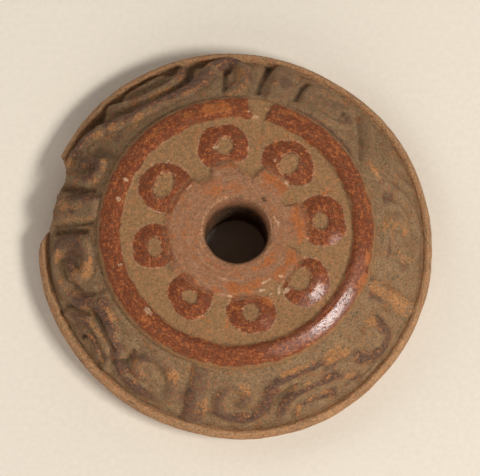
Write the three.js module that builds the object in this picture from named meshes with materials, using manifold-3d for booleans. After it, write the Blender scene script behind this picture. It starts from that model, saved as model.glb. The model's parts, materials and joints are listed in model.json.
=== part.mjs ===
// A clay spindle whorl: a low, flat-topped cone of fired clay with a hole for the spindle.
// Its top disc has a hub round the hole, a circle of ring bosses and a rounded ridge. Its
// sloping flank has four panels, each a double scroll over nested arcs, with bars between.
//
// Millimetres, +Z up. The origin is on the hole's axis, in the plane the whorl rests on.
import * as THREE from "three";
import { mergeVertices } from "three/addons/utils/BufferGeometryUtils.js";
import Module from "manifold-3d";

const { degToRad, lerp } = THREE.MathUtils;

// ---- Driving dimensions ----
const RIM_RADIUS = 30;
const RIM_HEIGHT = 3.6; // resting plane to the widest circle
const HEIGHT = 15.2; // resting plane to the crest of the ridge
const FOOT_RADIUS = 22; // edge of the flat underside
const HOLE_TOP_RADIUS = 4.9;
const HOLE_BOTTOM_RADIUS = 4.4;
const TURN_SEGMENTS = 72;

// Top disc
const FIELD_Z = HEIGHT - 0.95; // sunken floor between hub and ridge
const RIDGE_INNER = 17.9;
const RIDGE_CREST = 19.5;
const RIDGE_OUTER = 20.9;
const HUB_Z = HEIGHT - 0.25;
const HUB_RADIUS = 9.9;
const HUB_SHIFT = 0.7; // the hub is off centre, towards HUB_SHIFT_ANGLE
const HUB_SHIFT_ANGLE = 190;

// Ring bosses
const BOSS_ANGLES = [7.5, 53.5, 97.5, 147.5, 192, 236, 280.5, 323];
const BOSS_CIRCLE = 13.2;
const BOSS_RADIUS = 3.7;
const BOSS_CREST_RADIUS = 2.5;
const BOSS_PIT_RADIUS = 1.3;
const BOSS_Z = HEIGHT - 0.2;
const BOSS_SEGMENTS = 16;
const BOSS_LENGTHEN = 1.08; // along the circle, at the cost of its depth

// Carved flank: its floor falls from the ridge's foot to the groove inside the rim.
const FLANK_INNER = 21.1;
const FLANK_OUTER = 28.6;
const FLANK_TOP_Z = HEIGHT - 1.9;
const FLANK_BOTTOM_Z = RIM_HEIGHT + 1.1;
const FLANK_BULGE = 0.35; // how far the floor swells at mid slope
const FLANK_SPAN = FLANK_OUTER - FLANK_INNER;
const FLANK_FALL = FLANK_TOP_Z - FLANK_BOTTOM_Z;
const FLANK_LENGTH = Math.hypot(FLANK_SPAN, FLANK_FALL);
const FLANK_MM_PER_DEGREE = degToRad((FLANK_INNER + FLANK_OUTER) / 2);
const LIP_LIFT = 0.55; // the rim's lip over the groove inside it

// Strokes of the carving: rounded on top, narrower there than at the floor
const STROKE_LIFT = 0.8;
const STROKE_ROOT = 0.5; // how deep a stroke is sunk in the floor
const STROKE_TOP_SHARE = 0.68;
const STROKE_EDGE_SHARE = 0.7; // lift at the edge of the top, as a share of the crest's

// Panels fill the arc from one bar to the next. In a panel, along is a share of its
// half-length from its middle and slope a share of the flank. A panel's set moves its
// valley and arcs down the slope, and its lean moves them along.
const PANELS = [
  { start: -21, barWidth: 3.8, set: 0.02, lean: 0 },
  { start: 74.5, barWidth: 4.0, set: 0.0, lean: -0.04 },
  { start: 170, barWidth: 4.6, set: 0.08, lean: 0.03 },
  { start: 255, barWidth: 3.6, set: -0.07, lean: 0 },
];

// Double scroll
const SCROLL_WIDTH = 2.8;
const SCROLL_VALLEY_SLOPE = 0.27;
const SCROLL_CREST_SLOPE = 0.8;
const SCROLL_CLIMB_SHARE = 0.46; // of its length, from the valley to the crest
const SCROLL_LATE_CLIMB = 1.7; // how late the climb out of the valley starts
const SCROLL_EYE_ALONG = 0.635;
const SCROLL_EYE_SLOPE = 0.5;
const SCROLL_REACH = 0.145; // from the eye to the scroll's outer side
const SCROLL_TURN = 225; // degrees from the crest round the eye
const SCROLL_TIGHTEN = 0.4;

// Nested arcs
const ARCS = [
  { half: 0.31, low: 0.56, high: 0.9, width: 2.1 },
  { half: 0.15, low: 0.8, high: 0.91, width: 1.7 },
];

// Wear and breaks: the rim is lost along BREAK_EDGE, given as [angle, radius left].
const OUT_OF_ROUND = 0.22;
const LONG_DIAMETER_ANGLE = 130;
const BREAK_EDGE = [
  [151, 31],
  [154, 29.1],
  [159, 27.7],
  [165, 28.25],
  [172, 28.15],
  [176, 28.6],
  [180, 29.6],
  [184, 31],
];
const RIDGE_GAPS = [
  { angle: 80, radius: 19, size: 1.5 },
  { angle: 84, radius: 21.5, size: 2.6 },
];

// ---- Helpers ----
const wasm = await Module();
wasm.setup();

function solidFrom(geometry) {
  const bare = geometry.clone();
  bare.deleteAttribute("normal");
  bare.deleteAttribute("uv");
  const merged = mergeVertices(bare, 1e-4);
  return new wasm.Manifold(
    new wasm.Mesh({
      numProp: 3,
      vertProperties: merged.attributes.position.array,
      triVerts: new Uint32Array(merged.index.array),
    }),
  );
}

function geometryFrom(solid) {
  const { numProp, numVert, vertProperties, triVerts } = solid.getMesh();
  const positions = new Float32Array(numVert * 3);
  for (let i = 0; i < numVert; i++) {
    positions.set(vertProperties.subarray(i * numProp, i * numProp + 3), i * 3);
  }
  const geometry = new THREE.BufferGeometry();
  geometry.setAttribute("position", new THREE.BufferAttribute(positions, 3));
  geometry.setIndex(new THREE.BufferAttribute(new Uint32Array(triVerts), 1));
  return geometry;
}

// A solid turned about +Z from [radius, z] pairs that run up its outside.
function turned(profile, segments) {
  const points = profile.map(([radius, z]) => new THREE.Vector2(radius, z));
  return new THREE.LatheGeometry(points, segments).rotateX(Math.PI / 2);
}

function polar(angle, radius) {
  return [radius * Math.cos(degToRad(angle)), radius * Math.sin(degToRad(angle))];
}

// A point on the flank, by its angle, its share of the slope and its lift off the floor.
function flankPoint(angle, slope, lift) {
  const rise = lift + 4 * FLANK_BULGE * slope * (1 - slope);
  const radius = FLANK_INNER + FLANK_SPAN * slope + (rise * FLANK_FALL) / FLANK_LENGTH;
  const z = FLANK_TOP_Z - FLANK_FALL * slope + (rise * FLANK_SPAN) / FLANK_LENGTH;
  return [...polar(angle, radius), z];
}

// One raised stroke: a box bent along a path that gives [angle, slope] for 0 to 1.
function stroke(path, width, steps) {
  const box = new THREE.BoxGeometry(1, 1, 1, steps, 2, 1);
  const position = box.attributes.position;
  for (let i = 0; i < position.count; i++) {
    const along = position.getX(i) + 0.5;
    const across = position.getY(i);
    const onTop = position.getZ(i) > 0;
    const [angle, slope] = path(along);
    const [lastAngle, lastSlope] = path(Math.max(along - 0.5 / steps, 0));
    const [nextAngle, nextSlope] = path(Math.min(along + 0.5 / steps, 1));
    const run = (nextAngle - lastAngle) * FLANK_MM_PER_DEGREE;
    const fall = (nextSlope - lastSlope) * FLANK_LENGTH;
    const side = (across * width * (onTop ? STROKE_TOP_SHARE : 1)) / Math.hypot(run, fall);
    const crest = STROKE_LIFT * (across === 0 ? 1 : STROKE_EDGE_SHARE);
    const point = flankPoint(
      angle + (side * fall) / FLANK_MM_PER_DEGREE,
      slope - (side * run) / FLANK_LENGTH,
      onTop ? crest : -STROKE_ROOT,
    );
    position.setXYZ(i, ...point);
  }
  return solidFrom(box);
}

// ---- Parts of the whorl ----
function body() {
  const underside = [
    [0, 0],
    [FOOT_RADIUS, 0],
    [lerp(FOOT_RADIUS, RIM_RADIUS, 0.55), 0.8],
    [lerp(FOOT_RADIUS, RIM_RADIUS, 0.87), 2.1],
  ];
  const lip = [
    [RIM_RADIUS, RIM_HEIGHT],
    [RIM_RADIUS - 0.25, FLANK_BOTTOM_Z],
    [lerp(FLANK_OUTER, RIM_RADIUS, 0.45), FLANK_BOTTOM_Z + LIP_LIFT],
  ];
  const flank = [1, 0.5, 0].map((slope) => {
    const [radius, , z] = flankPoint(0, slope, 0);
    return [radius, z];
  });
  const ridge = [
    [RIDGE_OUTER, HEIGHT - 1.15],
    [lerp(RIDGE_CREST, RIDGE_OUTER, 0.7), HEIGHT - 0.45],
    [RIDGE_CREST, HEIGHT],
    [lerp(RIDGE_CREST, RIDGE_INNER, 0.7), HEIGHT - 0.35],
    [RIDGE_INNER, FIELD_Z],
    [0, FIELD_Z],
  ];
  return solidFrom(turned([...underside, ...lip, ...flank, ...ridge], TURN_SEGMENTS));
}

function hub() {
  const profile = [
    [0, FIELD_Z - 1],
    [HUB_RADIUS + 0.3, FIELD_Z - 1],
    [HUB_RADIUS + 0.3, FIELD_Z],
    [HUB_RADIUS - 0.2, HUB_Z],
    [0, HUB_Z],
  ];
  const [x, y] = polar(HUB_SHIFT_ANGLE, HUB_SHIFT);
  return solidFrom(turned(profile, TURN_SEGMENTS / 2).translate(x, y, 0));
}

function ringBoss(angle) {
  const profile = [
    [BOSS_PIT_RADIUS, FIELD_Z - 0.4],
    [BOSS_RADIUS, FIELD_Z - 0.4],
    [BOSS_RADIUS, FIELD_Z + 0.05],
    [lerp(BOSS_CREST_RADIUS, BOSS_RADIUS, 0.6), BOSS_Z - 0.15],
    [BOSS_CREST_RADIUS, BOSS_Z],
    [BOSS_PIT_RADIUS, FIELD_Z + 0.1],
    [BOSS_PIT_RADIUS, FIELD_Z - 0.4],
  ];
  const boss = turned(profile, BOSS_SEGMENTS)
    .scale(1 / BOSS_LENGTHEN, BOSS_LENGTHEN, 1)
    .rotateZ(degToRad(angle))
    .translate(...polar(angle, BOSS_CIRCLE), 0);
  return solidFrom(boss);
}

function bar({ start, barWidth }) {
  return stroke((along) => [start, lerp(0.02, 0.97, along)], barWidth, 4);
}

// A panel's double scroll: from one eye out, over the crest, through the valley, and over
// the other crest to the other eye.
function doubleScroll({ middle, half, set, lean }) {
  const climbOut = (share, side) => {
    const climb = (1 - Math.cos(Math.PI * share ** SCROLL_LATE_CLIMB)) / 2;
    return [
      lerp(side * lean, SCROLL_EYE_ALONG, share),
      lerp(SCROLL_VALLEY_SLOPE + set, SCROLL_CREST_SLOPE, climb),
    ];
  };
  const curlRound = (share) => {
    const turn = degToRad(90 - SCROLL_TURN * share);
    const shrink = 1 - SCROLL_TIGHTEN * share;
    return [
      SCROLL_EYE_ALONG + SCROLL_REACH * shrink * Math.cos(turn),
      lerp(SCROLL_EYE_SLOPE, SCROLL_CREST_SLOPE, shrink * Math.sin(turn)),
    ];
  };
  const path = (along) => {
    const side = along < 0.5 ? -1 : 1;
    const share = Math.abs(2 * along - 1);
    const [reach, slope] =
      share < SCROLL_CLIMB_SHARE
        ? climbOut(share / SCROLL_CLIMB_SHARE, side)
        : curlRound((share - SCROLL_CLIMB_SHARE) / (1 - SCROLL_CLIMB_SHARE));
    return [middle + side * half * reach, slope];
  };
  return stroke(path, SCROLL_WIDTH, 44);
}

// An arc inside the valley of the double scroll, with its ends at the rim's groove.
function nestedArc({ middle, half, set, lean }, arc) {
  const path = (along) => {
    const turn = (along - 0.5) * Math.PI;
    const reach = lean + arc.half * Math.sin(turn);
    return [middle + half * reach, set + lerp(arc.high, arc.low, Math.cos(turn))];
  };
  return stroke(path, arc.width, 10);
}

function panelStrokes(panel) {
  return [
    bar(panel),
    doubleScroll(panel),
    ...ARCS.map((arc) => nestedArc(panel, arc)),
  ];
}

function brokenRim() {
  const outline = BREAK_EDGE.map(([angle, radius]) => new THREE.Vector2(...polar(angle, radius)));
  const [firstAngle] = BREAK_EDGE[0];
  const [lastAngle] = BREAK_EDGE[BREAK_EDGE.length - 1];
  const middleAngle = (firstAngle + lastAngle) / 2;
  outline.push(new THREE.Vector2(...polar(middleAngle, RIM_RADIUS * 1.2)));
  const cutter = new THREE.ExtrudeGeometry(new THREE.Shape(outline), {
    depth: HEIGHT,
    bevelEnabled: false,
  });
  return solidFrom(cutter.translate(0, 0, -1));
}

function ridgeGap({ angle, radius, size }) {
  const cutter = new THREE.SphereGeometry(size, 14, 8);
  return solidFrom(cutter.translate(...polar(angle, radius), HEIGHT + size * 0.35));
}

function spindleHole() {
  const cutter = new THREE.CylinderGeometry(
    HOLE_TOP_RADIUS,
    HOLE_BOTTOM_RADIUS,
    HEIGHT * 1.2,
    TURN_SEGMENTS / 2,
  );
  return solidFrom(cutter.rotateX(Math.PI / 2).translate(0, 0, HEIGHT / 2));
}

// Stretches the flank and rim a little along one diameter, as a hand-pressed piece is.
function outOfRound(geometry) {
  const position = geometry.attributes.position;
  for (let i = 0; i < position.count; i++) {
    const x = position.getX(i);
    const y = position.getY(i);
    const radius = Math.hypot(x, y);
    const share = THREE.MathUtils.smoothstep(radius, RIDGE_CREST, RIM_RADIUS);
    const turn = Math.atan2(y, x) - degToRad(LONG_DIAMETER_ANGLE);
    const stretch = 1 + (share * OUT_OF_ROUND * Math.cos(2 * turn)) / RIM_RADIUS;
    position.setXY(i, x * stretch, y * stretch);
  }
  return geometry;
}

function whorl() {
  const panels = PANELS.map((panel, i) => {
    const lastTurn = i + 1 === PANELS.length ? 360 : 0;
    const end = PANELS[(i + 1) % PANELS.length].start + lastTurn;
    return { ...panel, middle: (panel.start + end) / 2, half: (end - panel.start) / 2 };
  });
  const raised = [hub(), ...BOSS_ANGLES.map(ringBoss), ...panels.flatMap(panelStrokes)];
  const cuts = [brokenRim(), ...RIDGE_GAPS.map(ridgeGap), spindleHole()];
  const joined = raised.reduce((solid, piece) => solid.add(piece), body());
  const carved = cuts.reduce((solid, cutter) => solid.subtract(cutter), joined);
  const geometry = outOfRound(geometryFrom(carved));
  geometry.computeVertexNormals();
  const clay = new THREE.MeshStandardMaterial({
    color: 0x8a5638,
    roughness: 0.7,
    metalness: 0,
    flatShading: true,
  });
  const mesh = new THREE.Mesh(geometry, clay);
  mesh.name = "whorl";
  return mesh;
}

const group = new THREE.Group();
group.add(whorl());
export default group;
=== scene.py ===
"""Models a moulded clay spindle whorl and lays it on a pale table."""

import json
import math

import bpy
import numpy as np
from bpy.props import FloatProperty, FloatVectorProperty, IntProperty, PointerProperty
from mathutils import Matrix, Vector, noise


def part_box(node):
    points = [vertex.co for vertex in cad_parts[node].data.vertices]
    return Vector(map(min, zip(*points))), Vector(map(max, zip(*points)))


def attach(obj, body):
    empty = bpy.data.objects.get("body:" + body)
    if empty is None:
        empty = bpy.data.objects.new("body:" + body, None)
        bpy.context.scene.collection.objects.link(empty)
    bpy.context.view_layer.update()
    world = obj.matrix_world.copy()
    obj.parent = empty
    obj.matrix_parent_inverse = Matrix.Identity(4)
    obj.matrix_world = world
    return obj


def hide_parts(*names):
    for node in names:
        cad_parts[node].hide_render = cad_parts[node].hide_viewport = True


bl_info = {
    "name": "Clay Spindle Whorl",
    "version": (1, 0, 0),
    "blender": (4, 5, 0),
    "location": "View3D > Sidebar > Whorl",
    "description": "Models a moulded clay spindle whorl with its slip, wear and earth",
    "category": "Object",
}

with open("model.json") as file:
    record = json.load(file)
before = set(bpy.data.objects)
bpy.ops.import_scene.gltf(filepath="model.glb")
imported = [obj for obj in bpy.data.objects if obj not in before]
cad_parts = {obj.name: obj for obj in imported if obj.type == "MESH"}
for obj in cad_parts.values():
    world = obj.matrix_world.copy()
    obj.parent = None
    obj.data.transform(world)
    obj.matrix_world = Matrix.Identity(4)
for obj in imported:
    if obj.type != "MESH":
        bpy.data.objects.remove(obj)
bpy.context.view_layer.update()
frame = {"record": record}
MM = 1000.0  # millimetres in a metre
SKIN = 0.04  # how far the turned rim lies inside the solid's, in mm
FLOOR_DEPTH = 0.95  # how far the disc's floor lies under the ridge's crest, in mm
FLANK_LENGTH = 11.4  # down the slope from the ridge to the rim, in mm
SLIP_BAND = (17.6, 20.7)  # radii in mm between which the ridge is slipped
PORE_DEPTH = 0.3  # how far the disc's pores and dirt go down, in mm
FLANK_TOP = (21.1, 1.9)  # radius of the flank's top and how far it lies under the crest, in mm
FLANK_FOOT = (28.6, 1.1)  # radius of the flank's foot and its height over the rim, in mm
FLANK_BULGE = 1.4  # four times how far the flank swells at half its slope, in mm
FAR = 9.0  # mm from a line beyond which it has no effect

WHORL_LOW, WHORL_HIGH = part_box("whorl")
MOUNTS = {mount["name"]: Vector(mount["pos_m"]) for mount in frame["record"]["mounts"]}

# ---- Pattern of the relief, in degrees and shares ----

# Ring bosses: angle, circle it stands on, how far it reaches in mm in eight directions
# turning from along the circle to outwards, and its pit as angle, circle, half-length
# and half-depth in mm.
BOSSES = [
    (7, 13.4, (4.3, 4, 3.2, 4.1, 4.1, 3.8, 2.9, 4.1), (6.8, 12.8, 1.35, 1.15)),
    (53.5, 13.5, (4.5, 3.6, 3.2, 3.8, 4.5, 3.7, 2.7, 3.9), (52.5, 13.2, 1.45, 1.7)),
    (98.5, 13.5, (4.3, 4, 3.1, 3.8, 4, 3.7, 2.7, 4), (97.8, 13.2, 1.3, 1.35)),
    (148, 13.3, (4.3, 4.1, 3.4, 3.7, 4, 4.3, 3.1, 4.3), (147.8, 13.1, 2.1, 1.35)),
    (191, 13.1, (3.6, 3.6, 2.9, 3.3, 3.9, 3.6, 2.8, 3.6), (191.8, 12.7, 1.45, 1.05)),
    (235, 12.8, (3.8, 3.6, 2.7, 3, 3.9, 3.9, 2.6, 3.9), (235.5, 12.4, 1.15, 1)),
    (280, 12.9, (3.9, 3.9, 3, 3.2, 4, 3.6, 2.8, 3.1), (280, 12.7, 1.25, 1.35)),
    (323, 13.2, (4.1, 3.8, 3.4, 3.8, 3.9, 3.5, 2.8, 3.6), (322, 12.2, 1.8, 1.5)),
]

# Strokes that stand on the flank: centre line as angle and share of the slope, width in mm,
# how high it still stands and how much of its slip is left.
STROKES = [
    # Bars from the ridge to the rim
    ([(339.4, -0.02), (339.2, 0.99)], 2.5, 0.75, 0.2),
    ([(74.6, -0.02), (74, 0.99)], 3.7, 0.9, 0.35),
    ([(169.8, -0.02), (169.8, 0.97)], 4.3, 0.95, 0.6),
    ([(256.5, -0.02), (256.5, 0.99)], 3.3, 0.8, 0.9),
    # Upper left panel: double scroll and two arcs
    (
        [
            (92.5, 0.1), (88.7, 0.18), (87.3, 0.45), (87.6, 0.7), (90, 0.88), (94, 0.92),
            (97.3, 0.82), (99.5, 0.65), (102.5, 0.48), (107, 0.36), (113, 0.3), (120, 0.31),
            (126, 0.35), (131, 0.41), (136, 0.55), (140.5, 0.7), (145.5, 0.84), (151, 0.9),
            (157, 0.84), (160, 0.62), (159.6, 0.36), (156, 0.22), (152, 0.26), (151.8, 0.44),
            (153.5, 0.6),
        ],
        2.2, 1.1, 0.7,
    ),
    (
        [
            (106.4, 0.92), (107.4, 0.77), (110.5, 0.63), (115, 0.565), (120, 0.56),
            (124.5, 0.595), (128.6, 0.69), (131.6, 0.81), (132.6, 0.93),
        ],
        1.9, 1.15, 0.6,
    ),
    ([(112.5, 0.94), (115, 0.87), (119.5, 0.84), (124, 0.87), (127, 0.95)], 1.3, 1, 0.4),
    # Lower left panel
    (
        [
            (190, 0.55), (193.6, 0.46), (193.9, 0.31), (190, 0.2), (185, 0.22), (181.6, 0.34),
            (180.5, 0.55), (182, 0.75), (187, 0.85), (193, 0.83), (198, 0.74), (202, 0.6),
            (204.5, 0.42), (208, 0.29), (213, 0.27), (218, 0.35), (222.5, 0.46), (226.5, 0.6),
            (230.5, 0.73), (236, 0.8), (242, 0.78), (246.5, 0.66), (247.5, 0.44), (244, 0.24),
            (238.5, 0.17), (234, 0.24), (232.8, 0.42), (234.5, 0.56),
        ],
        2.1, 0.95, 0.75,
    ),
    (
        [
            (203.6, 0.9), (205.6, 0.76), (208.6, 0.63), (212.5, 0.56), (216.5, 0.56),
            (220.5, 0.62), (223.4, 0.73), (224.6, 0.88),
        ],
        1.6, 0.95, 0.5,
    ),
    ([(209, 0.87), (211, 0.76), (214.5, 0.71), (218.2, 0.74), (220.4, 0.84)], 1.3, 0.9, 0.9),
    # Lower right panel
    (
        [
            (272, 0.55), (274, 0.4), (271, 0.27), (266.5, 0.3), (264, 0.48), (265, 0.68),
            (269, 0.79), (274.5, 0.79), (278.5, 0.68), (280.5, 0.5), (283, 0.33), (287.5, 0.24),
            (294, 0.22), (301, 0.24), (306, 0.29), (310.5, 0.37), (313.5, 0.46), (315.8, 0.58),
            (317.6, 0.71), (320.5, 0.81), (324.5, 0.83), (327.6, 0.74), (328.6, 0.58),
            (328, 0.43), (326.2, 0.33),
        ],
        1.9, 0.85, 1,
    ),
    (
        [
            (312, 0.87), (310.6, 0.74), (307, 0.63), (303, 0.57), (298, 0.535), (293, 0.54),
            (289, 0.59), (286, 0.68), (284.2, 0.81), (283.6, 0.93),
        ],
        1.35, 0.8, 1,
    ),
    (
        [(303.4, 0.88), (301.4, 0.79), (298, 0.745), (294, 0.735), (290.6, 0.78), (289, 0.9)],
        1, 0.7, 1,
    ),
    # Upper right panel, the most worn
    (
        [
            (52.5, 0.58), (48.2, 0.52), (46.8, 0.36), (50.5, 0.21), (56.5, 0.17), (62, 0.25),
            (64.4, 0.46), (63.4, 0.7), (58, 0.84), (51, 0.86), (45.5, 0.8), (40.5, 0.66),
            (36.3, 0.5), (32.2, 0.36), (28, 0.27), (24, 0.3), (19.5, 0.43), (16, 0.62),
            (11.5, 0.78), (5, 0.86), (357.5, 0.84), (352, 0.73), (349.8, 0.54), (351, 0.34),
            (355, 0.22), (0.5, 0.22), (5.5, 0.32), (7.2, 0.47), (4, 0.58),
        ],
        1.9, 0.62, 0.35,
    ),
    (
        [(17.5, 0.92), (20.5, 0.73), (25, 0.645), (29, 0.69), (33, 0.82), (35.5, 0.95)],
        1.4, 0.6, 0.3,
    ),
    ([(23.5, 0.96), (26.5, 0.86), (30, 0.93)], 1.1, 0.5, 0.3),
]

# The rim is broken away along these angles and radii in millimetres.
BREAK_EDGE = [
    (151, 31), (154, 29.1), (159, 27.7), (165, 28.25), (172, 28.15), (176, 28.6), (180, 29.6),
    (184, 31),
]
RIDGE_GAP = (79.8, 4.3)  # middle and half-width in degrees

# The rim's outline, as angles and millimetres off the true circle.
RIM_SWELL = [
    (0, 0.12), (20, 0.1), (40, 0.12), (60, -0.1), (80, 0.15), (100, 0.42), (120, 0.5),
    (136, 0.5), (152, 0.2), (195, 0.12), (210, -0.2), (228, -0.35), (256, -0.3), (272, 0.1),
    (300, 0.28), (320, 0.15), (345, 0.2), (360, 0.12),
]

# Lines cut or sunk deep into the flank: places as angle and slope, width, depth in mm.
DEEP_LINES = [
    ([(81.6, 0.18), (80.7, 0.5), (79.7, 0.75), (79, 1)], 1, 0.7),
    ([(66.8, 0.25), (67, 0.5), (66, 0.84)], 0.8, 0.5),
    ([(32, 0.15), (38, 0.38), (42, 0.55), (46, 0.76)], 1.1, 0.32),
    ([(49.8, 0.5), (50.4, 0.64)], 0.9, 0.4),
    ([(15.5, 0.25), (14, 0.45), (12, 0.6), (8, 0.72), (4, 0.76)], 0.7, 0.22),
    ([(93.8, 0.15), (94, 0.45), (92.8, 0.78)], 0.8, 0.4),
    ([(92.8, 0.66), (92.4, 0.78)], 0.9, 0.6),
    (
        [
            (104.5, 0.88), (105.5, 0.7), (108, 0.56), (112, 0.47), (118, 0.43), (122, 0.425),
            (126, 0.46), (130, 0.55), (134, 0.66), (136.8, 0.78), (137.2, 0.95),
        ],
        0.8, 0.62,
    ),
    ([(127.5, 0.8), (124.5, 0.74), (120, 0.69), (116, 0.71), (113.2, 0.76)], 0.8, 0.5),
    ([(97, 0.97), (105, 0.95), (120, 0.94), (130, 0.95), (148, 0.98)], 1.1, 0.5),
    ([(149.2, 0.35), (149, 0.68)], 0.8, 0.38),
    ([(147, 0.1), (147.5, 0.55)], 1.9, 0.28),
    ([(162.6, 0.2), (163, 0.5), (162.5, 0.85)], 0.9, 0.55),
    ([(178.8, 0.22), (177.8, 0.5), (177, 0.82)], 0.8, 0.65),
    ([(175.8, 0.1), (175.5, 0.5), (175.2, 0.85)], 0.5, 0.35),
    (
        [
            (203.5, 0.12), (202, 0.4), (198.5, 0.52), (196, 0.6), (193.5, 0.68), (190, 0.7),
            (187, 0.67),
        ],
        0.55, 0.36,
    ),
    ([(187, 0.4), (190.5, 0.42), (191.5, 0.52), (189, 0.6)], 0.45, 0.22),
    ([(223, 0.49), (218, 0.44), (212, 0.42), (208.5, 0.43)], 0.8, 0.5),
    ([(207.8, 0.54), (205.3, 0.66), (202.5, 0.76), (201, 0.88)], 0.55, 0.45),
    ([(213, 0.78), (212.3, 0.88)], 0.6, 0.5),
    ([(228.6, 0.3), (228.9, 0.5), (227.5, 0.56)], 0.65, 0.45),
    ([(226, 0.6), (224.5, 0.7)], 0.5, 0.28),
    ([(292.5, 0.42), (288, 0.48), (284, 0.58), (282, 0.66)], 0.9, 0.38),
    ([(330.6, 0.42), (330.9, 0.6)], 0.55, 0.45),
    ([(322.6, 0.35), (322.8, 0.42)], 0.5, 0.35),
    ([(334.2, 0.1), (334.4, 0.55)], 0.5, 0.25),
    ([(341.8, 0.3), (342.3, 0.55)], 0.5, 0.22),
    ([(314, 0.94), (319, 0.93)], 0.6, 0.35),
]

# Places of the flank rubbed bare to ochre clay: angle, slope, half-length round the whorl
# and half-length down the slope in mm, strength.
RUBBED = [
    (339.3, 0.45, 1.3, 6, 1), (353.5, 0.55, 0.9, 3.4, 0.6), (3, 0.28, 2, 1.6, 0.6),
    (5, 0.6, 1.8, 1, 0.55), (8.5, 0.85, 0.6, 0.6, 0.5), (26, 0.27, 2, 1.2, 0.6),
    (27.5, 0.7, 0.7, 0.7, 0.6), (30.5, 0.86, 0.6, 1.1, 0.9), (37, 0.72, 0.8, 0.5, 0.5),
    (49, 0.44, 0.4, 0.6, 0.6), (56, 0.2, 1.5, 0.7, 0.35), (75.5, 0.36, 0.5, 0.5, 0.9),
    (88.5, 0.5, 0.9, 2.2, 0.9), (92, 0.25, 1.2, 1, 0.6), (86, 0.15, 1.8, 0.6, 0.5),
    (98.8, 0.8, 0.5, 1.3, 0.7), (100.5, 0.13, 1.8, 0.35, 0.6), (116.5, 0.5, 3.4, 0.35, 0.75),
    (124, 0.17, 0.7, 0.3, 0.7), (131.5, 0.25, 2.4, 0.8, 1), (139.5, 0.47, 1.6, 1.1, 0.8),
    (143, 0.62, 0.8, 1.2, 0.6), (150.3, 0.22, 0.6, 0.8, 0.8), (154.5, 0.86, 1, 1.2, 0.95),
    (160.5, 0.5, 0.5, 1.2, 0.5), (144.5, 0.78, 0.5, 0.8, 0.5), (169.3, 0.35, 0.9, 1.6, 0.85),
    (168.8, 0.65, 1.1, 1.3, 0.95), (173, 0.4, 0.9, 3.8, 0.5), (193.5, 0.27, 1.8, 1.5, 1),
    (193, 0.45, 0.8, 1, 0.8), (185.5, 0.72, 0.9, 0.9, 0.75), (198, 0.72, 1, 0.6, 0.4),
    (214.5, 0.16, 1.6, 0.5, 0.8), (221, 0.22, 1, 0.6, 0.5), (212, 0.52, 3.2, 0.4, 0.7),
    (207, 0.47, 1, 0.5, 0.7), (219, 0.62, 1.2, 0.5, 0.4), (223, 0.82, 0.5, 1, 0.4),
    (232, 0.45, 1, 2, 0.45), (246, 0.3, 1.5, 1.4, 0.6), (258, 0.6, 1, 2.2, 0.6),
    (272, 0.3, 2, 1, 0.6), (293, 0.17, 4.5, 0.35, 0.75), (309, 0.27, 2.4, 1.1, 1),
    (313, 0.36, 1.6, 0.7, 0.8), (314.5, 0.52, 0.6, 0.6, 0.7), (327, 0.36, 0.9, 1.2, 0.9),
    (309.7, 0.71, 0.8, 0.7, 0.75), (296, 0.46, 2.8, 0.3, 0.65), (290.5, 0.79, 0.4, 0.5, 1),
    (299, 0.7, 1.6, 0.3, 0.4), (329.5, 0.93, 1.2, 0.4, 0.5), (318.5, 0.78, 1.2, 0.5, 0.4),
]

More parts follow.
